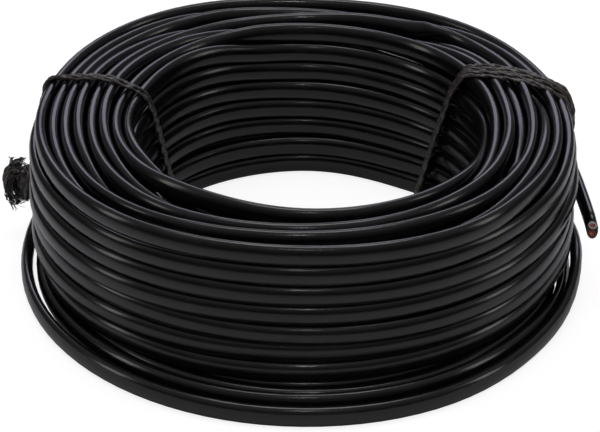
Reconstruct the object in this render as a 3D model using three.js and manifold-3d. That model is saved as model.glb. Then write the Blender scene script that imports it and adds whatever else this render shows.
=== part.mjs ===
// A roll of flat two-core sheathed cable, lying on its side face as it is sold: about fifty turns
// wound in eight layers of eight rows, its last turn lying loose round the foot, its cut end standing
// off at the right, and two plastic film ties round the section.
// Millimetres, +Z up. The roll's axis is vertical and its lower end face lies on the floor at Z = 0.
// +Y points away from the side on which the cut end shows, and angles run anticlockwise from +X.
import * as THREE from "three";
import { mergeVertices } from "three/addons/utils/BufferGeometryUtils.js";
import Module from "manifold-3d";

// The cable: a flat section with round narrow edges, wound with its wide faces in and out.
const cable_width = 7.2;
const cable_thickness = 4.1;
const core_diameter = 2.6;
const conductor_diameter = 1.6;
const core_fit = 0.1;
const core_depth = 9;

// The roll.
const bore_radius = 58;
const layers = 8;
const rows = 8;
const belly = 2.4;
const waist = 0.27;
const right_draw = 0.1;
const groove_depth = 1.2;
const edge_crest_width = 1.6;
const face_crest_width = 4.6;
const roll_segments = 40;

// The loose last turn and the free end.
const fit_clearance = 0.3;
const side_stand_off = 1.2;
const end_spring = 4.4;
const spring_from_angle = 6;
const cut_angle = -16;
const cut_height = 29;
const climb_from_angle = 10;
const climb_to_angle = 150;
const last_turn_ends_at = 372;
const degrees_per_step = 7.5;

// The two ties of twisted plastic film, which pinch the turns that they hold.
const tie_pinch = 1.6;
const tie_thickness = 0.9;
const tie_corner = 3;
const tie_curve_steps = 6;
const tie_side_steps = 8;

// How each tie leans sideways where it goes round the section: its shift at the middle of the section,
// and its slopes outwards, upwards, and outwards for each millimetre upwards.
const left_tie = { angle: 165, width: 3.6, shift: -3.6, outward: 0.4, upward: 0.13, twist: -0.013 };
const right_tie = { angle: 22.5, width: 5.2, shift: 3, outward: -0.94, upward: -0.267, twist: 0 };

// The frayed knot of the left tie.
const knot_height = 19;
const knot_depth = 12.5;
const knot_length = 18;
const knot_breadth = 12;
const knot_neck_depth = 2.8;

const roll_height = rows * cable_width;
const core_spacing = cable_width - cable_thickness;

const wasm = await Module();
wasm.setup();

// A closed mesh's geometry as a solid, and a solid as a geometry again.
function solidOf(geometry) {
  const bare = geometry.clone();
  bare.deleteAttribute("normal");
  bare.deleteAttribute("uv");
  const merged = mergeVertices(bare, 1e-4);
  return new wasm.Manifold(
    new wasm.Mesh({
      numProp: 3,
      vertProperties: new Float32Array(merged.attributes.position.array),
      triVerts: new Uint32Array(merged.index.array),
    }),
  );
}

function geometryOf(solid) {
  const mesh = solid.getMesh();
  const geometry = new THREE.BufferGeometry();
  geometry.setAttribute("position", new THREE.BufferAttribute(new Float32Array(mesh.vertProperties), 3));
  geometry.setIndex(new THREE.BufferAttribute(new Uint32Array(mesh.triVerts), 1));
  return geometry;
}

// The turns lie closer at the front and back than at the two ties, and a little closer at the right,
// apart from those at the foot. This is the share of its full thickness that the wound ring has at a
// height and an angle.
function thicknessShare(height, angle) {
  const above = THREE.MathUtils.smoothstep(height, cable_width, 2 * cable_width);
  const turned = THREE.MathUtils.degToRad(angle);
  const drawn = waist * Math.sin(turned) ** 2 + right_draw * Math.max(Math.cos(turned), 0) ** 2;
  return 1 - above * drawn;
}

// The ring's full thickness at a height: it is barrel-shaped.
function fullThickness(height) {
  return layers * cable_thickness + belly * Math.sin((Math.PI * height) / roll_height);
}

function outerFaceRadius(height, angle) {
  return bore_radius + fullThickness(height) * thicknessShare(height, angle);
}

// The section through one side of the roll. Each turn shows as a crest with a groove beside it: the
// narrow edges on the two end faces, the wide faces on the outside and in the bore.
function rollProfile() {
  const points = [];
  const edge = edge_crest_width / 2;
  const face = face_crest_width / 2;
  for (let layer = 0; layer < layers; layer += 1) {
    const radius = bore_radius + (layer + 0.5) * cable_thickness;
    points.push([radius - edge, 0], [radius + edge, 0]);
    if (layer < layers - 1) points.push([radius + cable_thickness / 2, groove_depth]);
  }
  for (let row = 0; row < rows; row += 1) {
    const height = (row + 0.5) * cable_width;
    const radius = bore_radius + fullThickness(height);
    points.push([radius, height - face], [radius, height + face]);
    const groove = height + cable_width / 2;
    if (row < rows - 1) points.push([bore_radius + fullThickness(groove) - groove_depth, groove]);
  }
  for (let layer = layers - 1; layer >= 0; layer -= 1) {
    const radius = bore_radius + (layer + 0.5) * cable_thickness;
    points.push([radius + edge, roll_height], [radius - edge, roll_height]);
    if (layer > 0) points.push([radius - cable_thickness / 2, roll_height - groove_depth]);
  }
  for (let row = rows - 1; row >= 0; row -= 1) {
    const height = (row + 0.5) * cable_width;
    points.push([bore_radius, height + face], [bore_radius, height - face]);
    if (row > 0) points.push([bore_radius + groove_depth, height - cable_width / 2]);
  }
  points.push(points[0]);
  return points.map(([radius, height]) => new THREE.Vector2(radius, height));
}

// Draws the turned ring in at the front and back, by moving each point of it towards the bore.
function drawnIn(geometry) {
  const place = geometry.attributes.position;
  for (let i = 0; i < place.count; i += 1) {
    const radius = Math.hypot(place.getX(i), place.getY(i));
    const angle = THREE.MathUtils.radToDeg(Math.atan2(place.getY(i), place.getX(i)));
    const share = thicknessShare(place.getZ(i), angle);
    const scale = (bore_radius + (radius - bore_radius) * share) / radius;
    place.setXY(i, place.getX(i) * scale, place.getY(i) * scale);
  }
  return geometry;
}

// A straight side in short steps.
function sideTo(shape, x, y) {
  const from = shape.currentPoint.clone();
  for (let step = 1; step <= tie_side_steps; step += 1) {
    const share = step / tie_side_steps;
    shape.lineTo(THREE.MathUtils.lerp(from.x, x, share), THREE.MathUtils.lerp(from.y, y, share));
  }
}

// The roll's section at an angle, set in by a distance, with round corners: what a tie pulled round it
// follows.
function sectionShape(inset, angle) {
  const inner = bore_radius + inset;
  const outer = bore_radius + layers * cable_thickness * thicknessShare(roll_height, angle) - inset;
  const low = inset;
  const high = roll_height - inset;
  const shape = new THREE.Shape();
  shape.moveTo(inner + tie_corner, low);
  sideTo(shape, outer - tie_corner, low);
  shape.quadraticCurveTo(outer, low, outer, low + tie_corner);
  shape.quadraticCurveTo(outer + 2 * belly, roll_height / 2, outer, high - tie_corner);
  shape.quadraticCurveTo(outer, high, outer - tie_corner, high);
  sideTo(shape, inner + tie_corner, high);
  shape.quadraticCurveTo(inner, high, inner, high - tie_corner);
  sideTo(shape, inner, low + tie_corner);
  shape.quadraticCurveTo(inner, low, inner + tie_corner, low);
  return shape;
}

// Leans a shape that was made at angle 0 as its tie leans, each point on its own circle round the
// roll's axis, and turns it to the tie's angle.
function leaned(geometry, tie) {
  const place = geometry.attributes.position;
  const middle = bore_radius + (layers * cable_thickness) / 2;
  for (let i = 0; i < place.count; i += 1) {
    const out = place.getX(i) - middle;
    const up = place.getZ(i) - roll_height / 2;
    const aside = tie.shift + (tie.outward + tie.twist * up) * out + tie.upward * up;
    const turn = aside / place.getX(i);
    const along = place.getX(i) * Math.cos(turn) - place.getY(i) * Math.sin(turn);
    const across = place.getX(i) * Math.sin(turn) + place.getY(i) * Math.cos(turn);
    place.setXY(i, along, across);
  }
  return geometry.rotateZ(THREE.MathUtils.degToRad(tie.angle));
}

// A band round the roll's section where a tie holds it, lying between two insets.
function band(outerInset, innerInset, width, tie) {
  const outer = sectionShape(outerInset, tie.angle).getPoints(tie_curve_steps).slice(1);
  const inner = sectionShape(innerInset, tie.angle).getPoints(tie_curve_steps).slice(1);
  const half = width / 2;
  const corners = outer.flatMap((point, i) => [
    [point.x, -half, point.y],
    [point.x, half, point.y],
    [inner[i].x, half, inner[i].y],
    [inner[i].x, -half, inner[i].y],
  ]);
  const faces = [];
  for (let i = 0; i < corners.length; i += 4) {
    const next = (i + 4) % corners.length;
    for (let side = 0; side < 4; side += 1) {
      const other = (side + 1) % 4;
      faces.push(i + side, i + other, next + other, i + side, next + other, next + side);
    }
  }
  const geometry = new THREE.BufferGeometry();
  geometry.setAttribute("position", new THREE.Float32BufferAttribute(corners.flat(), 3));
  geometry.setIndex(faces);
  return leaned(geometry, tie);
}

// The route of the loose last turn, from the cut end round the back, left and front to where the cable
// goes in under the turns. It climbs behind the roll, from its foot to the height of the cut end, lies
// on the outer face there, and springs out at its end.
class LastTurn extends THREE.Curve {
  constructor(fromAngle, toAngle) {
    super();
    this.fromAngle = fromAngle;
    this.toAngle = toAngle;
  }

  getPoint(t, target = new THREE.Vector3()) {
    const angle = THREE.MathUtils.lerp(this.fromAngle, this.toAngle, t);
    const turned = THREE.MathUtils.degToRad(angle);
    const foot = cable_width / 2;
    const fall = THREE.MathUtils.smoothstep(angle, climb_from_angle, climb_to_angle);
    const height = THREE.MathUtils.lerp(cut_height, foot, fall);
    const beside = [height - foot, height, height + foot].map((level) => outerFaceRadius(level, angle));
    const sprung = end_spring * (1 - THREE.MathUtils.smoothstep(angle, cut_angle, spring_from_angle));
    const standOff = side_stand_off * fall * Math.cos(turned) ** 2 + sprung;
    const radius = Math.max(...beside) + fit_clearance + standOff + cable_thickness / 2;
    return target.set(radius * Math.cos(turned), radius * Math.sin(turned), height);
  }

  // Frames that keep the wide faces of the flat section upright.
  computeFrenetFrames(steps) {
    const frames = { tangents: [], normals: [], binormals: [] };
    for (let i = 0; i <= steps; i += 1) {
      const tangent = this.getTangentAt(i / steps);
      const normal = new THREE.Vector3(0, 0, 1).addScaledVector(tangent, -tangent.z).normalize();
      frames.tangents.push(tangent);
      frames.normals.push(normal);
      frames.binormals.push(new THREE.Vector3().crossVectors(tangent, normal));
    }
    return frames;
  }
}

function sheathSection() {
  const shape = new THREE.Shape();
  shape.absarc(core_spacing / 2, 0, cable_thickness / 2, -Math.PI / 2, Math.PI / 2);
  shape.absarc(-core_spacing / 2, 0, cable_thickness / 2, Math.PI / 2, (3 * Math.PI) / 2);
  shape.closePath();
  return shape;
}

function roundSection(diameter, side) {
  const shape = new THREE.Shape();
  shape.absarc((side * core_spacing) / 2, 0, diameter / 2, 0, 2 * Math.PI);
  return shape;
}

function sweep(shape, route, steps, curveSegments) {
  return new THREE.ExtrudeGeometry(shape, { steps, extrudePath: route, curveSegments });
}

// The stretch of the route at the cut end in which the cores are pieces of their own. Their bores in the
// sheath run on past the cut face, and a clearance deeper than the cores.
const sheath_arc_steps = 3;
const core_steps = 3;
const core_sides = 6;

function angleOf(length) {
  return THREE.MathUtils.radToDeg(length / outerFaceRadius(cut_height, cut_angle));
}

function alongCores(shape, before, beyond) {
  const route = new LastTurn(cut_angle - angleOf(before), cut_angle + angleOf(core_depth + beyond));
  return sweep(shape, route, core_steps, core_sides);
}

const sheath_black = new THREE.MeshStandardMaterial({ color: 0x121215, roughness: 0.38, metalness: 0 });
const tie_film = new THREE.MeshStandardMaterial({ color: 0x1c1816, roughness: 0.35, metalness: 0 });
const core_brown = new THREE.MeshStandardMaterial({ color: 0x4a2417, roughness: 0.5, metalness: 0 });
const core_pale = new THREE.MeshStandardMaterial({ color: 0xd9cfc4, roughness: 0.5, metalness: 0 });
const copper = new THREE.MeshStandardMaterial({ color: 0xc9714f, roughness: 0.35, metalness: 1 });

function piece(name, geometry, material) {
  const mesh = new THREE.Mesh(geometry, material);
  mesh.name = name;
  return mesh;
}

// The wound turns, with the two places where the ties pinch them in.
function cableRoll() {
  const lathe = new THREE.LatheGeometry(rollProfile(), roll_segments);
  lathe.rotateX(Math.PI / 2);
  let roll = solidOf(drawnIn(lathe));
  for (const tie of [left_tie, right_tie]) {
    roll = roll.subtract(solidOf(band(-1.6 * cable_thickness, tie_pinch, tie.width + 3 * fit_clearance, tie)));
  }
  return piece("cable_roll", geometryOf(roll), sheath_black);
}

// The sheath of the last turn, with the two cores let into its cut end.
function looseLastTurn() {
  const route = new LastTurn(cut_angle, last_turn_ends_at);
  const steps = Math.round((last_turn_ends_at - cut_angle) / degrees_per_step);
  let sheath = solidOf(sweep(sheathSection(), route, steps, sheath_arc_steps));
  for (const side of [1, -1]) {
    const bore = roundSection(core_diameter + 2 * core_fit, side);
    sheath = sheath.subtract(solidOf(alongCores(bore, fit_clearance, fit_clearance)));
  }
  return piece("loose_last_turn", geometryOf(sheath), sheath_black);
}

function coreInsulation(name, side, material) {
  const ring = roundSection(core_diameter, side);
  ring.holes.push(roundSection(conductor_diameter + 2 * core_fit, side));
  return piece(name, alongCores(ring, 0, 0), material);
}

function conductor(name, side) {
  return piece(name, alongCores(roundSection(conductor_diameter, side), 0, 0), copper);
}

// A tie lies in the pinched place, a clearance off the turns.
function tieLoop(tie) {
  const inner = tie_pinch - fit_clearance;
  return solidOf(band(inner - tie_thickness, inner, tie.width, tie));
}

// The knot is a crumpled bunch of film ends on the outside of the left tie, wider at its middle, with
// a small bunch above it and a curl below.
function knotBunch(depth, breadth, length, out, height) {
  const bunch = new THREE.SphereGeometry(0.5, 12, 8);
  bunch.scale(depth, breadth, length);
  bunch.translate(out, 0, height);
  return solidOf(leaned(bunch, left_tie));
}

function leftTie() {
  const face = outerFaceRadius(knot_height, left_tie.angle) + fit_clearance;
  const middle = face + knot_depth / 2;
  const neck = knotBunch(knot_neck_depth, left_tie.width, knot_length / 2, face, knot_height);
  const main = knotBunch(knot_depth, knot_breadth, knot_length, middle, knot_height);
  const top = knotBunch(
    knot_depth / 2,
    knot_breadth / 2,
    knot_length / 2,
    face + knot_depth / 4,
    knot_height + knot_length / 2,
  );
  const side = knotBunch(
    knot_depth / 2,
    knot_breadth / 2,
    knot_length / 2,
    middle + knot_depth / 4,
    knot_height - knot_length / 6,
  );
  const tie = tieLoop(left_tie).add(neck).add(main).add(top).add(side);
  return piece("tie_left", geometryOf(tie), tie_film);
}

const cable = new THREE.Group();
cable.add(
  cableRoll(),
  looseLastTurn(),
  coreInsulation("core_insulation_upper", 1, core_pale),
  coreInsulation("core_insulation_lower", -1, core_brown),
  conductor("conductor_upper", 1),
  conductor("conductor_lower", -1),
);

const ties = new THREE.Group();
ties.add(leftTie(), piece("tie_right", geometryOf(tieLoop(right_tie)), tie_film));

// The origin is on the floor under the middle of the whole roll, with its knot and cut end.
const flat_cable_roll = new THREE.Group();
flat_cable_roll.add(cable, ties);
const middle = new THREE.Box3().setFromObject(flat_cable_roll).getCenter(new THREE.Vector3());
flat_cable_roll.position.set(-middle.x, -middle.y, 0);

export default flat_cable_roll;
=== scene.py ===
import math

import bpy
import numpy as np
from mathutils import Euler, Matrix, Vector


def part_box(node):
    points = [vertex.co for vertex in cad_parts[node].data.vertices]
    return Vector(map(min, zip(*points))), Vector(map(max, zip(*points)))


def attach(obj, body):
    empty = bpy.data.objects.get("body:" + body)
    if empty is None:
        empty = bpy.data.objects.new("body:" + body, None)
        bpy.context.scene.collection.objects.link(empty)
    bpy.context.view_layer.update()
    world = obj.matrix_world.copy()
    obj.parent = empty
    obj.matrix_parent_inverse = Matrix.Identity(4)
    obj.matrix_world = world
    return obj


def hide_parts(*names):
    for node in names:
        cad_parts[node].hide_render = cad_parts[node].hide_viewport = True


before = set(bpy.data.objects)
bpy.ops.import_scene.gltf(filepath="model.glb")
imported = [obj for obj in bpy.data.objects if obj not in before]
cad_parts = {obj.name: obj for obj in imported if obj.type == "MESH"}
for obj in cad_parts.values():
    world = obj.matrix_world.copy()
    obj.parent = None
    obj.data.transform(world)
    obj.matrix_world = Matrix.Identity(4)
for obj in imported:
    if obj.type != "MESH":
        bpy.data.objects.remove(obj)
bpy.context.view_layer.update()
scene = bpy.context.scene

# The roll's axis, in the middle of the wound turns. Lengths below are in millimetres round this axis
# until a mesh is made, and angles run anticlockwise from +X, seen from above.
roll_low, roll_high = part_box("cable_roll")
axis_from_left = 0.093154
axis_x = roll_low[0] + axis_from_left
axis_y = (roll_low[1] + roll_high[1]) / 2
roll_height = 57.6
middle_height = roll_height / 2

# The camera
# It stands in front of the roll and looks down on it at 32 degrees, with a long lens, so that the far
# side of the bore shows over the near side.
camera_data = bpy.data.cameras.new("photo_camera")
camera = bpy.data.objects.new("photo_camera", camera_data)
scene.collection.objects.link(camera)
scene.camera = camera
camera_data.sensor_width = 36.0
camera_data.lens = 149.65
camera_data.clip_start = 0.05
camera_back = 0.7115
camera_up = 0.4379
looks_down = 31.61 + 0.664
turns_left = 0.202
camera.location = (axis_x, axis_y - camera_back, middle_height / 1000 + camera_up)
camera.rotation_euler = Euler((math.radians(90 - looks_down), 0, math.radians(turns_left)))

# The cable
# One length of flat two-core cable with a black sheath, wound by hand in columns of turns on edge, from
# the bore outwards: up one column and down the next. Its wide faces look in and out, and each turn
# moves on to its next place at the right. The last three turns lie round the foot, and the very last
# one is loose and climbs behind the roll to the cut end.
steps = 96
cable_width = 7.2
cable_thickness = 3.95
web = (cable_width - cable_thickness) / 2
edge = cable_thickness / 2
foot_height = cable_width / 2
top_height = 54.0
full_pitch = 7.2
loose_pitch = 7.6
bore_ring = 60.5
middle_radius = 74.4
column_turns = {0: 8, 1: 7, 2: 8, 3: 8, 4: 7, 5: 8}
first_angle = -61.0
end_angle = -16
# Rings on which the crests of the topmost turns lie, by column and row.
left_ridges = {(5, 7): 87.5, (4, 6): 83.5, (3, 7): 79.5, (3, 6): 75.4}
left_ridges |= {(2, 7): 71.6, (1, 6): 67.5, (0, 7): 62.9, (0, 6): 58.8}
right_ridges = {(5, 7): 84.2, (4, 6): 79.2, (3, 7): 75.0, (3, 6): 70.9, (2, 7): 67.2, (0, 7): 61.4}
# Where each tie crosses the roll, in degrees, and how far it leans along the roll, in millimetres.
left_tie = {"angle": 165.0, "shift": -3.6, "outward": 0.4, "upward": 0.13, "twist": -0.013}
right_tie = {"angle": 22.5, "shift": -1.0, "outward": -0.864, "upward": -0.23, "twist": 0.0}

places = []
for column in range(6):
    rows = range(column_turns[column])
    places += [(column, row) for row in (rows if column % 2 == 0 else reversed(rows))]
places += [(6, 0), (7, 0), (8, 0)]
turn_count = len(places)
left_off_at_end = 11
point_count = turn_count * steps - left_off_at_end


def ease(value, low, high):
    share = np.clip((value - low) / (high - low), 0, 1)
    return share * share * (3 - 2 * share)


def swell(away, width):
    return np.exp(-((away / width) ** 2))


def wrapped(angle):
    return (angle + 180) % 360 - 180


def tie_angle_at(tie, radius, height):
    out = radius - middle_radius
    up = height - middle_height
    aside = tie["shift"] + (tie["outward"] + tie["twist"] * up) * out + tie["upward"] * up
    return tie["angle"] + np.degrees(aside / radius)


# The last turn lies round the foot, climbs behind the roll, lies against its right side, and springs
# out from there to the cut end.
def loose_turn(angle):
    round_back = (angle - end_angle) % 360 + end_angle
    side = np.cos(np.radians(angle)) ** 2
    end_height = 29
    height = end_height + (foot_height - end_height) * ease(round_back, 10, 150)
    at_foot = 94.2 + 0.9 * side - 3.4 * swell(wrapped(angle + 34), 17)
    springing_out = (np.clip(3 - round_back, 0, 19) / 19) ** 2.2
    on_roll = 84.5 + 4.4 * side + 8.1 * springing_out
    return on_roll + (at_foot - on_roll) * ease(round_back, 105, 150), height


# Where one turn would lie before it settles. The roll is wider at the left, narrower at the right, and
# drawn together behind. On top at the left eight turns stand side by side, and six at the right.
def turn_place(place, angle):
    column, row = place
    if column == 8:
        return loose_turn(angle)
    turned = np.radians(angle)
    left = np.clip(-np.cos(turned), 0, 1) ** 2
    right = np.clip(np.cos(turned), 0, 1) ** 2
    back = np.clip(np.sin(turned), 0, 1) ** 2
    up = row / 7
    middle = np.sin(np.pi * up)
    full = column_turns.get(column, 8) == 8
    height = np.full_like(angle, foot_height + row * (full_pitch if full else loose_pitch))
    inner = bore_ring + back * (3.2 * up - 2.0) - 2.6 * middle * left * (column == 0)
    if row == 0 or column > 5:
        radius = inner + (3.95 + 0.15 * left) * min(column, 6) + {6: 0.2, 7: 4.6}.get(column, 0)
    else:
        radius = inner + (3.93 + (1.8 + 0.35 * middle) * left + (1.25 + 0.3 * middle) * right) * column
    if column > 5:
        radius = radius - (column - 5) * swell(wrapped(angle + 36), 17)
    ring = (angle + 20) % 360 - 20
    on_top = ease(ring, 95, 130) * (1 - ease(ring, 196, 222))
    spaced = ease(ring, 95, 130) * (1 - ease(ring, 200, 262))
    if column == 0 and row < 7:
        on_top = ease(ring, 95, 130) * (1 - ease(ring, 208, 236))
    if place in left_ridges:
        radius = radius + (left_ridges[place] - radius) * spaced
        height = height + (top_height - height) * on_top
    if column == 0:
        high = np.clip(up - 0.6, 0, 0.4) / 0.4
        near_left = swell(ring - 236, 26)
        radius = radius - 1.9 * near_left * high + 1.0 * swell(ring - 310, 22) * high
        radius = radius - 3.6 * swell(ring - 60, 17) * (1 - 0.7 * up)
        height = height + 1.0 * near_left * (row == 7) + 1.15 * row * on_top * (row < 6)
    ring = wrapped(angle)
    sinks = {(3, 6): (-22, -4), (4, 6): (-46, -22)}.get(place, (-62, -30))
    on_top = ease(ring, *sinks) * (1 - ease(ring, 40, 80))
    spaced = ease(ring, -75, -25) * (1 - ease(ring, 40, 80))
    if place in right_ridges:
        radius = radius + (right_ridges[place] - radius) * spaced
        height = height + (top_height - 1.6 * (place == (3, 6)) - height) * on_top
    return radius, height


ring_angles = first_angle - 360.0 * np.arange(steps) / steps
moving_behind = ease(-ring_angles, 262, 335)
moving_beside = ease(-ring_angles, 335, 415)
radii = np.zeros((turn_count, steps))
heights = np.zeros((turn_count, steps))
for number, place in enumerate(places):
    here = turn_place(place, ring_angles)
    after = turn_place(places[min(number + 1, turn_count - 1)], ring_angles)
    moving_on = moving_behind if (1, 0) <= place < (4, 6) else moving_beside
    radii[number] = here[0] + (after[0] - here[0]) * moving_on
    heights[number] = here[1] + (after[1] - here[1]) * moving_on
radii = radii.reshape(-1)[:point_count]
heights = heights.reshape(-1)[:point_count]
angles = first_angle - 360.0 * np.arange(point_count) / steps
turn_of = np.repeat(np.arange(turn_count), steps)[:point_count]
random_winding = np.random.default_rng(7)


def wander(amount, length):
    raw = random_winding.normal(size=point_count + 8 * length)
    window = np.hanning(4 * length)
    window /= np.sqrt((window**2).sum())
    return amount * np.convolve(raw, window, mode="same")[4 * length : 4 * length + point_count]


freedom = np.where(turn_of == turn_count - 1, 0.35, 1.0)
radii += (wander(0.34, 6) + wander(0.3, 14)) * freedom
heights += (wander(0.26, 7) + wander(0.45, 16)) * freedom


def near_tie(tie, width):
    return swell(wrapped(angles - tie_angle_at(tie, radii, heights)), width)


# Each tie squeezes the turns under it into a bunch, low at its corners and crowned in its middle.
pinched = near_tie(left_tie, 4.5) + near_tie(right_tie, 4.5)
crown = (3.4 - 5.4 * ((radii - 74) / 15) ** 2) * near_tie(left_tie, 17)
crown += (3.0 - 5.0 * ((radii - 71) / 13) ** 2) * near_tie(right_tie, 15)
heights = np.where(heights > 51, heights + crown - 0.7 * pinched, heights)

# Each ring of the cable is a rigid upright bar with round ends. Bars that overlap push each other
# apart, and the cable's own stiffness keeps neighbouring rings in line.
wanted = np.stack([radii, heights + web, radii, heights - web])
bars = wanted.copy()
outer = np.array(
    [c == 0 or c >= 5 or r >= column_turns.get(c, 1) - 1 or (c, r) == (3, 6) for c, r in places]
)
hold = 0.02 + 0.05 * outer[turn_of]
hold[-2 * steps :] = 0.12
hold[-steps:] = 0.35


def close_pairs():
    middle = (bars[:2] + bars[2:]) / 2
    firsts, seconds = [], []
    for gap in range(1, turn_count):
        a = np.arange(point_count - gap * steps)
        b = a + gap * steps
        apart = np.abs(middle[:, a] - middle[:, b])
        near = (apart[0] < 6.5) & (apart[1] < 9.5)
        firsts.append(a[near])
        seconds.append(b[near])
    return np.concatenate(firsts), np.concatenate(seconds)


def push_apart(firsts, seconds):
    shift = np.zeros_like(bars)
    for ends, others in ((firsts, seconds), (seconds, firsts)):
        start = bars[:2, others]
        along = bars[2:, others] - start
        length2 = (along**2).sum(0)
        for end in (0, 2):
            point = bars[end : end + 2, ends]
            share = np.clip(((point - start) * along).sum(0) / length2, 0, 1)
            away = point - (start + share * along)
            distance = np.sqrt((away**2).sum(0)) + 1e-9
            hit = distance < cable_thickness + 0.02
            push = 0.3 * (cable_thickness + 0.02 - distance[hit]) * away[:, hit] / distance[hit]
            for axis in (0, 1):
                shift[end + axis] += np.bincount(ends[hit], push[axis], point_count)
                shift[axis] -= np.bincount(others[hit], push[axis] * (1 - share[hit]), point_count)
                shift[2 + axis] -= np.bincount(others[hit], push[axis] * share[hit], point_count)
    bars[:] += shift
    middle = (bars[:2] + bars[2:]) / 2
    along = bars[:2] - bars[2:]
    along[0] *= 0.97
    along *= web / np.sqrt((along**2).sum(0))
    bars[:2] = middle + along
    bars[2:] = middle - along


rounds = 260
for number in range(rounds):
    if number % 15 == 0:
        firsts, seconds = close_pairs()
    settling = number < 0.75 * rounds
    if settling:
        bars += hold * (wanted - bars)
    inside = bars[:, 1:-1]
    inside += (0.22 if settling else 0.08) * ((bars[:, :-2] + bars[:, 2:]) / 2 - inside)
    push_apart(firsts, seconds)
    push_apart(firsts, seconds)
    lift = np.clip(edge + 0.75 * pinched - bars[3], 0, None)
    bars[1] += lift
    bars[3] += lift

middles = (bars[:2] + bars[2:]) / 2
ups = (bars[:2] - bars[2:]) / (2 * web)


def in_row_frame(radius, height, angle):
    turned = np.radians(angle)
    x = axis_x + radius * np.cos(turned) / 1000
    y = axis_y + radius * np.sin(turned) / 1000
    return np.stack([x, y, height / 1000 + 0 * turned], axis=-1)


centres = in_row_frame(middles[0], middles[1], angles)
run = np.concatenate([[0], np.cumsum(np.linalg.norm(np.diff(centres, axis=0), axis=1))])
around = 18
arc = 2 * np.pi * (np.arange(around) + 0.5) / around
arc += 0.22 * np.sin(2 * arc)
squareness = 2.15
section = np.stack(
    [
        edge * np.sign(np.cos(arc)) * np.abs(np.cos(arc)) ** (2 / squareness),
        cable_width / 2 * np.sign(np.sin(arc)) * np.abs(np.sin(arc)) ** (2 / squareness),
    ]
)
ring_radius = middles[0][:, None] + section[0] * ups[1][:, None] + section[1] * ups[0][:, None]
ring_height = middles[1][:, None] - section[0] * ups[0][:, None] + section[1] * ups[1][:, None]
vertices = in_row_frame(ring_radius, ring_height, np.repeat(angles[:, None], around, axis=1)).reshape(-1, 3)
ring_start = np.arange(point_count - 1)[:, None] * around
corner = np.arange(around)[None, :]
following = (corner + 1) % around
next_start = ring_start + around
quads = np.stack(
    [ring_start + corner, ring_start + following, next_start + following, next_start + corner], axis=-1
)
faces = quads.reshape(-1, 4).tolist()
faces.append(list(range(around))[::-1])
faces.append([(point_count - 1) * around + k for k in range(around)])
cable_mesh = bpy.data.meshes.new("flat_cable")
cable_mesh.from_pydata(vertices.tolist(), [], faces)
cable_mesh.polygons.foreach_set("use_smooth", [True] * (len(faces) - 2) + [False] * 2)
along_run = cable_mesh.attributes.new("along", "FLOAT_VECTOR", "POINT")
lengthways = np.repeat(run, around)
crosswise = np.tile(np.linspace(0, 1, around, endpoint=False), point_count)
turn_number = np.repeat(turn_of, around) / turn_count
along_run.data.foreach_set("vector", np.stack([lengthways, crosswise, turn_number], axis=-1).reshape(-1))
cable_mesh.validate()
cable_mesh.update()
flat_cable = bpy.data.objects.new("flat_cable", cable_mesh)
scene.collection.objects.link(flat_cable)


def new_material(name):
    material = bpy.data.materials.new(name)
    material.use_nodes = True
    nodes = material.node_tree.nodes
    return material, nodes, material.node_tree.links, nodes["Principled BSDF"]


# Dust on the sheath, smears on the cut cores and creases in the film are all uneven specks; in the film the
# pale specks are also a painted highlight that stands in for its glints.
specks = bpy.data.node_groups.new("specks", "ShaderNodeTree")
specks.interface.new_socket("Place", in_out="INPUT", socket_type="NodeSocketVector")
for name in ("Scale", "Detail", "Roughness"):
    specks.interface.new_socket(name, in_out="INPUT", socket_type="NodeSocketFloat")
specks.interface.new_socket("Mask", in_out="OUTPUT", socket_type="NodeSocketFloat")
given = specks.nodes.new("NodeGroupInput")
uneven = specks.nodes.new("ShaderNodeTexNoise")
result = specks.nodes.new("NodeGroupOutput")
specks.links.new(given.outputs["Place"], uneven.inputs["Vector"])
for name in ("Scale", "Detail", "Roughness"):
    specks.links.new(given.outputs[name], uneven.inputs[name])
specks.links.new(uneven.outputs["Fac"], result.inputs["Mask"])


def specks_in(nodes, links, scale, detail, roughness):
    coordinates = nodes.new("ShaderNodeTexCoord")
    placed = nodes.new("ShaderNodeGroup")
    placed.node_tree = specks
    placed.inputs["Scale"].default_value = scale
    placed.inputs["Detail"].default_value = detail
    placed.inputs["Roughness"].default_value = roughness
    links.new(coordinates.outputs["Object"], placed.inputs["Place"])
    return placed.outputs["Mask"]


# The sheath is black soft PVC, satin from the extruder, with fine lines along it, a faint bloom of dust
# and a few rubbed places.
sheath, nodes, links, skin = new_material("sheath_black_pvc")
skin.inputs["Specular IOR Level"].default_value = 0.5
skin.inputs["IOR"].default_value = 1.5
cable_run = nodes.new("ShaderNodeAttribute")
cable_run.attribute_name = "along"
stretched = nodes.new("ShaderNodeMapping")
stretched.inputs["Scale"].default_value = (60, 26, 37)
links.new(cable_run.outputs["Vector"], stretched.inputs["Vector"])
drawn_lines = nodes.new("ShaderNodeTexNoise")
drawn_lines.inputs["Scale"].default_value = 1.0
drawn_lines.inputs["Detail"].default_value = 5.0
links.new(stretched.outputs["Vector"], drawn_lines.inputs["Vector"])
dust = specks_in(nodes, links, 210.0, 8.0, 0.7)
patches = specks_in(nodes, links, 38.0, 4.0, 0.5)
bloom = nodes.new("ShaderNodeMath")
bloom.operation = "MULTIPLY"
links.new(dust, bloom.inputs[0])
links.new(patches, bloom.inputs[1])
tone = nodes.new("ShaderNodeValToRGB")
tone.color_ramp.elements[0].position = 0.18
tone.color_ramp.elements[0].color = (0.003, 0.003, 0.0034, 1)
tone.color_ramp.elements[1].position = 0.5
tone.color_ramp.elements[1].color = (0.012, 0.0116, 0.0124, 1)
links.new(bloom.outputs["Value"], tone.inputs["Fac"])
links.new(tone.outputs["Color"], skin.inputs["Base Color"])
polish = nodes.new("ShaderNodeMapRange")
polish.inputs["From Min"].default_value = 0.3
polish.inputs["From Max"].default_value = 0.7
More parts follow.
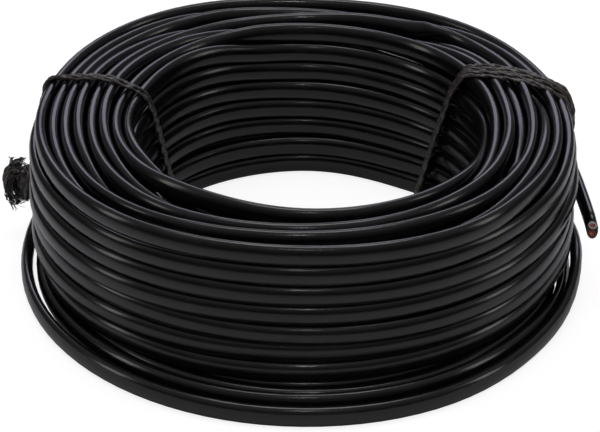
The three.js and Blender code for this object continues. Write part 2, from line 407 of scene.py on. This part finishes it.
polish.inputs["To Min"].default_value = 0.15
polish.inputs["To Max"].default_value = 0.25
links.new(drawn_lines.outputs["Fac"], polish.inputs["Value"])
links.new(polish.outputs["Result"], skin.inputs["Roughness"])
relief = nodes.new("ShaderNodeBump")
relief.inputs["Strength"].default_value = 0.25
relief.inputs["Distance"].default_value = 0.00012
links.new(drawn_lines.outputs["Fac"], relief.inputs["Height"])
links.new(relief.outputs["Normal"], skin.inputs["Normal"])
cable_mesh.materials.append(sheath)

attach(flat_cable, "root")
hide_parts("cable_roll", "loose_last_turn")

# The cut end
# The cable is cut square with shears. In the black sheath lie two cores side by side, the upper one
# pale and the lower one brown, each a tube of insulation round fine copper strands.
end_centre = Vector(centres[-1])
turned = math.radians(angles[-1])
outwards = Vector((math.cos(turned), math.sin(turned), 0))
forwards = Vector(centres[-1] - centres[-4]).normalized()
end_up = (outwards * ups[0][-1] + Vector((0, 0, 1)) * ups[1][-1]).normalized()
end_out = (outwards * ups[1][-1] - Vector((0, 0, 1)) * ups[0][-1]).normalized()


def beside_end(centre, turn, size, level):
    sideways = end_out * math.cos(turn) * size + end_up * math.sin(turn) * size
    return centre + (sideways + forwards * level) / 1000


def core_tube(name, centre, radius, inner_radius, front, depth, sides=28, chamfer=0.06):
    points, tube_faces = [], []
    outside = [(radius, -depth), (radius, front - chamfer), (radius - chamfer, front)]
    for size, level in outside + [(inner_radius, front), (inner_radius, -depth)]:
        for k in range(sides):
            points.append(beside_end(centre, 2 * math.pi * k / sides, size, level))
    for level in range(4):
        near = level * sides
        far = near + sides
        for k in range(sides):
            m = (k + 1) % sides
            tube_faces.append((near + k, near + m, far + m, far + k))
    mesh = bpy.data.meshes.new(name)
    mesh.from_pydata([tuple(p) for p in points], [], tube_faces)
    mesh.update()
    made = bpy.data.objects.new(name, mesh)
    scene.collection.objects.link(made)
    return made


def core_material(name, pale, dark):
    material, nodes, links, skin = new_material(name)
    smear = specks_in(nodes, links, 1500.0, 3.0, 0.5)
    tone = nodes.new("ShaderNodeValToRGB")
    tone.color_ramp.elements[0].position = 0.3
    tone.color_ramp.elements[0].color = dark
    tone.color_ramp.elements[1].position = 0.65
    tone.color_ramp.elements[1].color = pale
    links.new(smear, tone.inputs["Fac"])
    links.new(tone.outputs["Color"], skin.inputs["Base Color"])
    skin.inputs["Roughness"].default_value = 0.45
    return material


pale_insulation = core_material("insulation_pale", (0.82, 0.72, 0.7, 1), (0.6, 0.42, 0.4, 1))
brown_insulation = core_material("insulation_brown", (0.32, 0.06, 0.04, 1), (0.1, 0.02, 0.015, 1))
copper = core_material("copper_strands", (0.85, 0.36, 0.24, 1), (0.42, 0.1, 0.06, 1))
copper.node_tree.nodes["Principled BSDF"].inputs["Metallic"].default_value = 0.85
copper.node_tree.nodes["Principled BSDF"].inputs["Roughness"].default_value = 0.3
random_wires = np.random.default_rng(3)

# A bundle of fine wires: one wire stands on each given point, as long as that point says.
bundle = bpy.data.node_groups.new("copper_bundle", "GeometryNodeTree")
bundle_inputs = {}
for name, kind in (
    ("Wire Feet", "NodeSocketGeometry"),
    ("Wire", "NodeSocketObject"),
    ("Direction", "NodeSocketVector"),
    ("Copper", "NodeSocketMaterial"),
):
    bundle_inputs[name] = bundle.interface.new_socket(name, in_out="INPUT", socket_type=kind).identifier
bundle.interface.new_socket("Wires", in_out="OUTPUT", socket_type="NodeSocketGeometry")
given = bundle.nodes.new("NodeGroupInput")
result = bundle.nodes.new("NodeGroupOutput")
one_wire = bundle.nodes.new("GeometryNodeObjectInfo")
one_wire.transform_space = "ORIGINAL"
turned_to = bundle.nodes.new("FunctionNodeAlignRotationToVector")
turned_to.axis = "Z"
cut_length = bundle.nodes.new("GeometryNodeInputNamedAttribute")
cut_length.data_type = "FLOAT"
cut_length.inputs["Name"].default_value = "length"
stretch = bundle.nodes.new("ShaderNodeCombineXYZ")
stretch.inputs["X"].default_value = 1.0
stretch.inputs["Y"].default_value = 1.0
laid = bundle.nodes.new("GeometryNodeInstanceOnPoints")
made_real = bundle.nodes.new("GeometryNodeRealizeInstances")
coloured = bundle.nodes.new("GeometryNodeSetMaterial")
bundle.links.new(given.outputs["Wire"], one_wire.inputs["Object"])
bundle.links.new(given.outputs["Direction"], turned_to.inputs["Vector"])
bundle.links.new(cut_length.outputs["Attribute"], stretch.inputs["Z"])
bundle.links.new(given.outputs["Wire Feet"], laid.inputs["Points"])
bundle.links.new(one_wire.outputs["Geometry"], laid.inputs["Instance"])
bundle.links.new(turned_to.outputs["Rotation"], laid.inputs["Rotation"])
bundle.links.new(stretch.outputs["Vector"], laid.inputs["Scale"])
bundle.links.new(laid.outputs["Instances"], made_real.inputs["Geometry"])
bundle.links.new(made_real.outputs["Geometry"], coloured.inputs["Geometry"])
bundle.links.new(given.outputs["Copper"], coloured.inputs["Material"])
bundle.links.new(coloured.outputs["Geometry"], result.inputs["Wires"])


def wire_of_unit_length(radius, tip_radius, tip_share, sides=8):
    points = []
    for size, level in ((radius, 0.0), (radius, 1 - tip_share), (tip_radius, 1.0)):
        for side in range(sides):
            turn = 2 * math.pi * side / sides
            points.append((size / 1000 * math.cos(turn), size / 1000 * math.sin(turn), level))
    wire_faces = []
    for start in (0, sides):
        for side in range(sides):
            m = (side + 1) % sides
            wire_faces.append((start + side, start + m, start + sides + m, start + sides + side))
    wire_faces.append(tuple(range(2 * sides, 3 * sides)))
    mesh = bpy.data.meshes.new("wire")
    mesh.from_pydata(points, [], wire_faces)
    made = bpy.data.objects.new("wire", mesh)
    scene.collection.objects.link(made)
    return made


def copper_bundle(name, feet, lengths, wire, direction):
    standing = bpy.data.meshes.new(name)
    standing.from_pydata(feet, [], [])
    told = standing.attributes.new("length", "FLOAT", "POINT")
    told.data.foreach_set("value", [length / 1000 for length in lengths])
    made = bpy.data.objects.new(name, standing)
    scene.collection.objects.link(made)
    growing = made.modifiers.new("bundle", "NODES")
    growing.node_group = bundle
    growing[bundle_inputs["Wire"]] = wire
    growing[bundle_inputs["Direction"]] = tuple(direction)
    growing[bundle_inputs["Copper"]] = copper
    bpy.context.view_layer.update()
    grown = made.evaluated_get(bpy.context.evaluated_depsgraph_get())
    made.data = bpy.data.meshes.new_from_object(grown)
    made.modifiers.clear()
    return made


core_distance = 1.6
core_radius = 1.4
copper_radius = 0.85
let_in = 3.0
wire_rings = ((1, 0.0), (6, 0.3), (12, 0.6))
single_wire = wire_of_unit_length(0.15, 0.1, 0.05 / 3.3)
out_of_end = end_out.cross(end_up)
out_of_end *= math.copysign(1, out_of_end.dot(forwards))
for name, level, insulation, slot in (
    ("upper", 1, pale_insulation, "core_pale"),
    ("lower", -1, brown_insulation, "core_brown"),
):
    centre = end_centre + end_up * (core_distance * level / 1000)
    tube = core_tube("core_insulation_cut_" + name, centre, core_radius, copper_radius, 0.22, let_in)
    tube.data.materials.append(insulation)
    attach(tube, "root")
    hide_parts("core_insulation_" + name)
    feet, lengths = [], []
    for count, size in wire_rings:
        for k in range(count):
            turn = 2 * math.pi * (k + 0.3 * count) / count
            feet.append(beside_end(centre, turn, size, 0) - out_of_end * (let_in / 1000))
            lengths.append(let_in + 0.24 + 0.12 * random_wires.random())
    strands = copper_bundle("copper_strands_" + name, feet, lengths, single_wire, out_of_end)
    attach(strands, "root")
    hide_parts("conductor_" + name)
bpy.data.objects.remove(single_wire)

# The ties
# Strips of black plastic film, twisted into strands about a millimetre thick, pulled tight round the
# section of the roll and knotted. They lie over the crests of the turns and bridge the grooves.
section_middle = 74
film, nodes, links, skin = new_material("tie_film")
creases_and_painted_glints = specks_in(nodes, links, 620.0, 6.0, 0.62)
# The film's tone runs from near black to pale grey-brown at random creases, and the pale end is partly a
# painted highlight for the glints on the film.
tone = nodes.new("ShaderNodeValToRGB")
tone.color_ramp.elements[0].position = 0.35
tone.color_ramp.elements[0].color = (0.006, 0.005, 0.005, 1)
tone.color_ramp.elements[1].position = 0.72
tone.color_ramp.elements[1].color = (0.12, 0.1, 0.09, 1)
links.new(creases_and_painted_glints, tone.inputs["Fac"])
links.new(tone.outputs["Color"], skin.inputs["Base Color"])
skin.inputs["Roughness"].default_value = 0.3
skin.inputs["Specular IOR Level"].default_value = 0.6
relief = nodes.new("ShaderNodeBump")
relief.inputs["Strength"].default_value = 0.6
relief.inputs["Distance"].default_value = 0.0004
links.new(creases_and_painted_glints, relief.inputs["Height"])
links.new(relief.outputs["Normal"], skin.inputs["Normal"])


# How far the turns reach in each direction from the middle of the roll's section, as a tight band
# would lie round them.
def section_reach(angle, stand_off, directions):
    station = ((first_angle - angle) % 360) / 360 * steps
    low = int(math.floor(station))
    part = station - low
    outline = []
    for turn in range(turn_count - 1):
        k = turn * steps + low
        bar = bars[:, k] * (1 - part) + bars[:, k + 1] * part
        for end in (0, 2):
            outline.append((bar[end] - section_middle, bar[end + 1] - middle_height))
    outline = np.array(outline)
    facing = np.stack([np.cos(directions), np.sin(directions)])
    support = (outline @ facing).max(axis=0) + edge + stand_off
    between = np.cos(directions[:, None] - directions[None, :])
    reach = np.where(between > 0.05, support[None, :] / np.maximum(between, 0.05), 1e9)
    return reach.min(axis=1)


def tight_loop(tie, stand_off, count):
    directions = 2 * np.pi * np.arange(240) / 240
    sampled = np.arange(-28, 25, 4.0)
    reaches = np.stack([section_reach(tie["angle"] + away, stand_off, directions) for away in sampled])
    reach = reaches[len(sampled) // 2]
    for _ in range(4):
        radius = section_middle + reach * np.cos(directions)
        height = middle_height + reach * np.sin(directions)
        away = tie_angle_at(tie, radius, height) - tie["angle"]
        reach = np.array([np.interp(a, sampled, reaches[:, k]) for k, a in enumerate(away)])
    radius = section_middle + reach * np.cos(directions)
    height = np.maximum(middle_height + reach * np.sin(directions), stand_off * 0.6)
    loop = in_row_frame(radius, height, tie_angle_at(tie, radius, height)) * 1000
    loop = np.concatenate([loop, loop[:1]])
    distance = np.concatenate([[0], np.cumsum(np.linalg.norm(np.diff(loop, axis=0), axis=1))])
    even = np.linspace(0, distance[-1], count, endpoint=False)
    return np.stack([np.interp(even, distance, loop[:, k]) for k in range(3)], axis=1)


def unit(vectors):
    return vectors / (np.linalg.norm(vectors, axis=-1, keepdims=True) + 1e-12)


def twisted_strand(name, tie, strand_radius, sideways, phase, seed, lift=0.0, count=420, sides=10):
    loop = tight_loop(tie, strand_radius * 0.85 + lift, count)
    for _ in range(6):
        loop = (np.roll(loop, 1, axis=0) + 2 * loop + np.roll(loop, -1, axis=0)) / 4
    rng = np.random.default_rng(seed)
    t = np.arange(count) / count
    forward = unit(np.roll(loop, -3, axis=0) - np.roll(loop, 3, axis=0))
    core = in_row_frame(section_middle, middle_height, tie["angle"]) * 1000
    across = unit(np.cross(forward, loop - core))
    outward = np.cross(across, forward)
    slack = rng.normal(size=(3, 2))
    aside = sideways + 0.3 * np.sin(2 * np.pi * (3 * t + phase))
    aside += 0.25 * np.sin(2 * np.pi * (7 * t + 2 * phase))
    aside += 0.25 * slack[0, 0] * np.sin(2 * np.pi * (2 * t + slack[0, 1]))
    rough = rng.normal(size=(count, sides))
    for _ in range(2):
        rough = (np.roll(rough, 1, axis=0) + rough * 2 + np.roll(rough, -1, axis=0)) / 3
    points = np.zeros((count, sides, 3))
    for side in range(sides):
        turn = 2 * np.pi * (side / sides + 17 * t + phase)
        size = strand_radius * (1 + 0.2 * rough[:, side] + 0.28 * np.cos(2 * 2 * np.pi * side / sides))
        place = loop + outward * (size * np.cos(turn))[:, None]
        place += across * (size * np.sin(turn) + aside)[:, None]
        place[:, 2] = np.maximum(place[:, 2], 0.02)
        points[:, side] = place / 1000
    start = np.arange(count)[:, None] * sides
    after = ((np.arange(count) + 1) % count)[:, None] * sides
    side = np.arange(sides)[None, :]
    up = (side + 1) % sides
    strand_faces = np.stack([start + side, start + up, after + up, after + side], axis=-1).reshape(-1, 4)
    mesh = bpy.data.meshes.new(name)
    mesh.from_pydata(points.reshape(-1, 3).tolist(), [], strand_faces.tolist())
    mesh.polygons.foreach_set("use_smooth", [True] * len(strand_faces))
    mesh.update()
    strand = bpy.data.objects.new(name, mesh)
    scene.collection.objects.link(strand)
    strand.data.materials.append(film)
    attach(strand, "root")
    return strand


# How far each strand lies to the side, and how far it rides up on its neighbours.
left_strands = ((-0.8, 0.0), (0.75, 0.0), (0.1, 0.5))
right_strands = ((-2.5, 0.0), (-1.2, 0.3), (0.1, 0.0), (1.4, 0.35), (2.6, 0.0))
for number, (sideways, lift) in enumerate(left_strands):
    name = f"tie_left_strand_{number}"
    strand = twisted_strand(name, left_tie, 0.6, sideways, 0.37 * number, 11 + number, lift)
    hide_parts("tie_left")
for number, (sideways, lift) in enumerate(right_strands):
    name = f"tie_right_strand_{number}"
    strand = twisted_strand(name, right_tie, 0.62, sideways, 0.29 * number, 21 + number, lift)
    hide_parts("tie_right")

# The knot of the left tie
# The two ends of the film are knotted on the outside of the roll, and frayed into crumpled ribbons
# round a tight dark middle.
random_knot = np.random.default_rng(5)
knot_points, knot_faces = [], []
knot_angle = 170.5
knot_radius = 98.6
knot_height = 20.6


def knot_place(out, across, up):
    angle = knot_angle + np.degrees(np.asarray(across) / 97.0)
    return in_row_frame(knot_radius + np.asarray(out), knot_height + np.asarray(up), angle)


def ribbon(path, width, seed):
    rng = np.random.default_rng(seed)
    count = len(path)
    jitter = rng.normal(size=(count, 3)) * 0.16
    path = path + (np.roll(jitter, 1, axis=0) + jitter) / 2
    forward = unit(np.gradient(path, axis=0))
    side = unit(np.cross(forward, path - np.array([-1.0, 0.0, 0.0])))
    over = np.cross(forward, side)
    twist = rng.random() * 3 + np.cumsum(rng.normal(size=count)) * 0.16
    across = side * np.cos(twist)[:, None] + over * np.sin(twist)[:, None]
    lifted = np.cross(across, forward)
    first = len(knot_points)
    for k in range(count):
        taper = min(1.0, 4 * k / count + 0.35, 4 * (count - 1 - k) / count + 0.25)
        for m in range(4):
            place = path[k] + across[k] * ((m - 1.5) / 3 * width * taper)
            place += lifted[k] * (0.12 * width * rng.normal())
            knot_points.append(tuple(knot_place(*place)))
    for k in range(count - 1):
        for m in range(3):
            a = first + k * 4 + m
            knot_faces.append((a, a + 1, a + 5, a + 4))


# The tight middle is a lump of creased film, drawn against the turns.
lump_rings, lump_sides = 18, 26
for ring in range(lump_rings + 1):
    for side in range(lump_sides):
        level = math.pi * ring / lump_rings
        turn = 2 * math.pi * side / lump_sides
        crease = 1 + 0.13 * math.sin(5 * turn + 3 * level) + 0.1 * math.sin(11 * turn - 5 * level)
        crease += 0.05 * random_knot.normal()
        out = 3.0 * crease * math.sin(level) * math.cos(turn)
        across = 3.4 * crease * math.sin(level) * math.sin(turn)
        knot_points.append(tuple(knot_place(out - 1.4, across, 6.0 * crease * math.cos(level))))
for ring in range(lump_rings):
    for side in range(lump_sides):
        a = ring * lump_sides + side
        b = ring * lump_sides + (side + 1) % lump_sides
        knot_faces.append((a, b, b + lump_sides, a + lump_sides))

# Most ribbons arch outwards from top to bottom of the lump.
for number in range(64):
    t = np.linspace(0, 1, 26)
    begin = math.radians(random_knot.uniform(35, 115))
    end = math.radians(random_knot.uniform(-125, -40))
    turn = begin + (end - begin) * t
    reach_out = random_knot.uniform(2.4, 6.6)
    reach_up = random_knot.uniform(4.2, 8.2)
    lean = random_knot.uniform(-4.6, 4.6)
    sway = random_knot.uniform(-2.2, 2.2)
    path = np.stack(
        [
            reach_out * np.cos(turn) * np.sqrt(np.clip(1 - (lean / 6.5) ** 2, 0.1, 1)) + 0.6,
            lean + sway * np.sin(np.pi * t * random_knot.uniform(0.6, 1.6)),
            reach_up * np.sin(turn) + 0.4 * np.sin(9 * t + lean),
        ],
        axis=1,
    )
    ribbon(path, random_knot.uniform(0.45, 1.3), 100 + number)
# Short curled ends stick out below it, and a few above.
for number in range(16):
    t = np.linspace(0, 1, 20)
    low = number % 4 != 0
    foot = [random_knot.uniform(0.5, 4.5), random_knot.uniform(-3.5, 3.5), -6.0 if low else 6.0]
    away = [random_knot.uniform(-0.5, 2.2), random_knot.uniform(-2, 2), random_knot.uniform(-4.5, -1.5)]
    away[2] *= 1 if low else -1.1
    curl = random_knot.uniform(0.7, 1.5)
    spin = 2 * np.pi * t * random_knot.uniform(0.5, 1.1) + random_knot.uniform(0, 6)
    curled = curl * t[:, None] * np.stack([np.cos(spin), 0.6 * np.sin(spin), np.sin(spin)], axis=1)
    path = np.array(foot) + np.array(away) * t[:, None] + curled
    ribbon(path, random_knot.uniform(0.35, 0.8), 300 + number)
knot_mesh = bpy.data.meshes.new("frayed_knot")
knot_mesh.from_pydata(knot_points, [], knot_faces)
knot_mesh.polygons.foreach_set("use_smooth", [True] * len(knot_faces))
knot_mesh.update()
knot = bpy.data.objects.new("frayed_knot", knot_mesh)
scene.collection.objects.link(knot)
thick = knot.modifiers.new("film_thickness", "SOLIDIFY")
thick.thickness = 0.00006
knot.data.materials.append(film)
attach(knot, "root")
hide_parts("tie_left")

# The studio
# A plain white floor that fades into a white surround, and soft light: a wide softbox behind and above
# that draws the crests of the turns, one over the roll, a strip at each side for the rims, and a small
# lamp over the camera for the glints.
floor_mesh = bpy.data.meshes.new("floor")
floor_mesh.from_pydata([(-6, -6, 0), (6, -6, 0), (6, 6, 0), (-6, 6, 0)], [], [(0, 1, 2, 3)])
floor = bpy.data.objects.new("floor", floor_mesh)
scene.collection.objects.link(floor)
# The camera sees a white sheet. Everything else sees a painted pool of light in the floor's colour, pale
# round the roll and dark beyond, so the roll's faces darken upwards.
floor_with_painted_pool, nodes, links, skin = new_material("floor_white_with_painted_pool")
skin.inputs["Roughness"].default_value = 0.9
skin.inputs["Specular IOR Level"].default_value = 0.1
coordinates = nodes.new("ShaderNodeTexCoord")
distance = nodes.new("ShaderNodeVectorMath")
distance.operation = "LENGTH"
links.new(coordinates.outputs["Object"], distance.inputs[0])
# Painted pool of light: the floor's colour is pale within 0.15 m of its middle, where the roll stands, and
# dark past 0.34 m.
near = nodes.new("ShaderNodeValToRGB")
near.color_ramp.interpolation = "EASE"
near.color_ramp.elements[0].position = 0.15
near.color_ramp.elements[0].color = (0.8, 0.8, 0.81, 1)
near.color_ramp.elements[1].position = 0.34
near.color_ramp.elements[1].color = (0.1, 0.1, 0.1, 1)
links.new(distance.outputs["Value"], near.inputs["Fac"])
links.new(near.outputs["Color"], skin.inputs["Base Color"])
plain = nodes.new("ShaderNodeBsdfDiffuse")
plain.inputs["Color"].default_value = (0.3, 0.3, 0.3, 1)
glow = nodes.new("ShaderNodeEmission")
glow.inputs["Color"].default_value = (1, 1, 1, 1)
glow.inputs["Strength"].default_value = 0.85
both = nodes.new("ShaderNodeAddShader")
seen = nodes.new("ShaderNodeMixShader")
rays = nodes.new("ShaderNodeLightPath")
out = nodes["Material Output"]
links.new(plain.outputs["BSDF"], both.inputs[0])
links.new(glow.outputs["Emission"], both.inputs[1])
links.new(rays.outputs["Is Camera Ray"], seen.inputs["Fac"])
links.new(skin.outputs["BSDF"], seen.inputs[1])
links.new(both.outputs["Shader"], seen.inputs[2])
links.new(seen.outputs["Shader"], out.inputs["Surface"])
floor_mesh.materials.append(floor_with_painted_pool)

world = bpy.data.worlds.new("studio")
scene.world = world
world.use_nodes = True
nodes, links = world.node_tree.nodes, world.node_tree.links
surround = nodes["Background"]
surround.inputs["Color"].default_value = (0.97, 0.97, 1, 1)
direction = nodes.new("ShaderNodeTexCoord")
upright = nodes.new("ShaderNodeSeparateXYZ")
links.new(direction.outputs["Generated"], upright.inputs["Vector"])
sky = nodes.new("ShaderNodeMapRange")
sky.inputs["From Min"].default_value = 0.0
sky.inputs["From Max"].default_value = 0.9
sky.inputs["To Min"].default_value = 0.04
sky.inputs["To Max"].default_value = 0.36
links.new(upright.outputs["Z"], sky.inputs["Value"])
links.new(sky.outputs["Result"], surround.inputs["Strength"])
backdrop = nodes.new("ShaderNodeBackground")
backdrop.inputs["Color"].default_value = (1, 1, 1, 1)
rays = nodes.new("ShaderNodeLightPath")
seen = nodes.new("ShaderNodeMixShader")
links.new(rays.outputs["Is Camera Ray"], seen.inputs["Fac"])
links.new(surround.outputs["Background"], seen.inputs[1])
links.new(backdrop.outputs["Background"], seen.inputs[2])
links.new(seen.outputs["Shader"], nodes["World Output"].inputs["Surface"])


def soft_light(name, place, aim, size, size_y, power, colour=(1, 1, 1)):
    data = bpy.data.lights.new(name, "AREA")
    data.shape = "RECTANGLE"
    data.size = size
    data.size_y = size_y
    data.energy = power
    data.color = colour
    light = bpy.data.objects.new(name, data)
    scene.collection.objects.link(light)
    light.location = place
    light.rotation_euler = (Vector(aim) - Vector(place)).to_track_quat("-Z", "Y").to_euler()
    return light


soft_light("softbox_behind", (0, 1.3, 1.0), (0, 0, 0.03), 1.5, 0.6, 7.0, (0.84, 0.81, 1.0))
soft_light("softbox_above", (0, 0.1, 1.7), (0, 0, 0.03), 1.0, 0.7, 8.0)
soft_light("lamp_over_camera", (0.0, -1.3, 1.25), (0, 0, 0.03), 0.13, 0.1, 1.0)
soft_light("side_left", (-1.4, -0.4, 0.45), (0, 0, 0.03), 0.3, 0.7, 1.8, (1.0, 0.96, 0.9))
soft_light("side_right", (1.4, -0.4, 0.45), (0, 0, 0.03), 0.3, 0.7, 1.8, (1.0, 0.96, 0.9))

scene.view_settings.view_transform = "Standard"
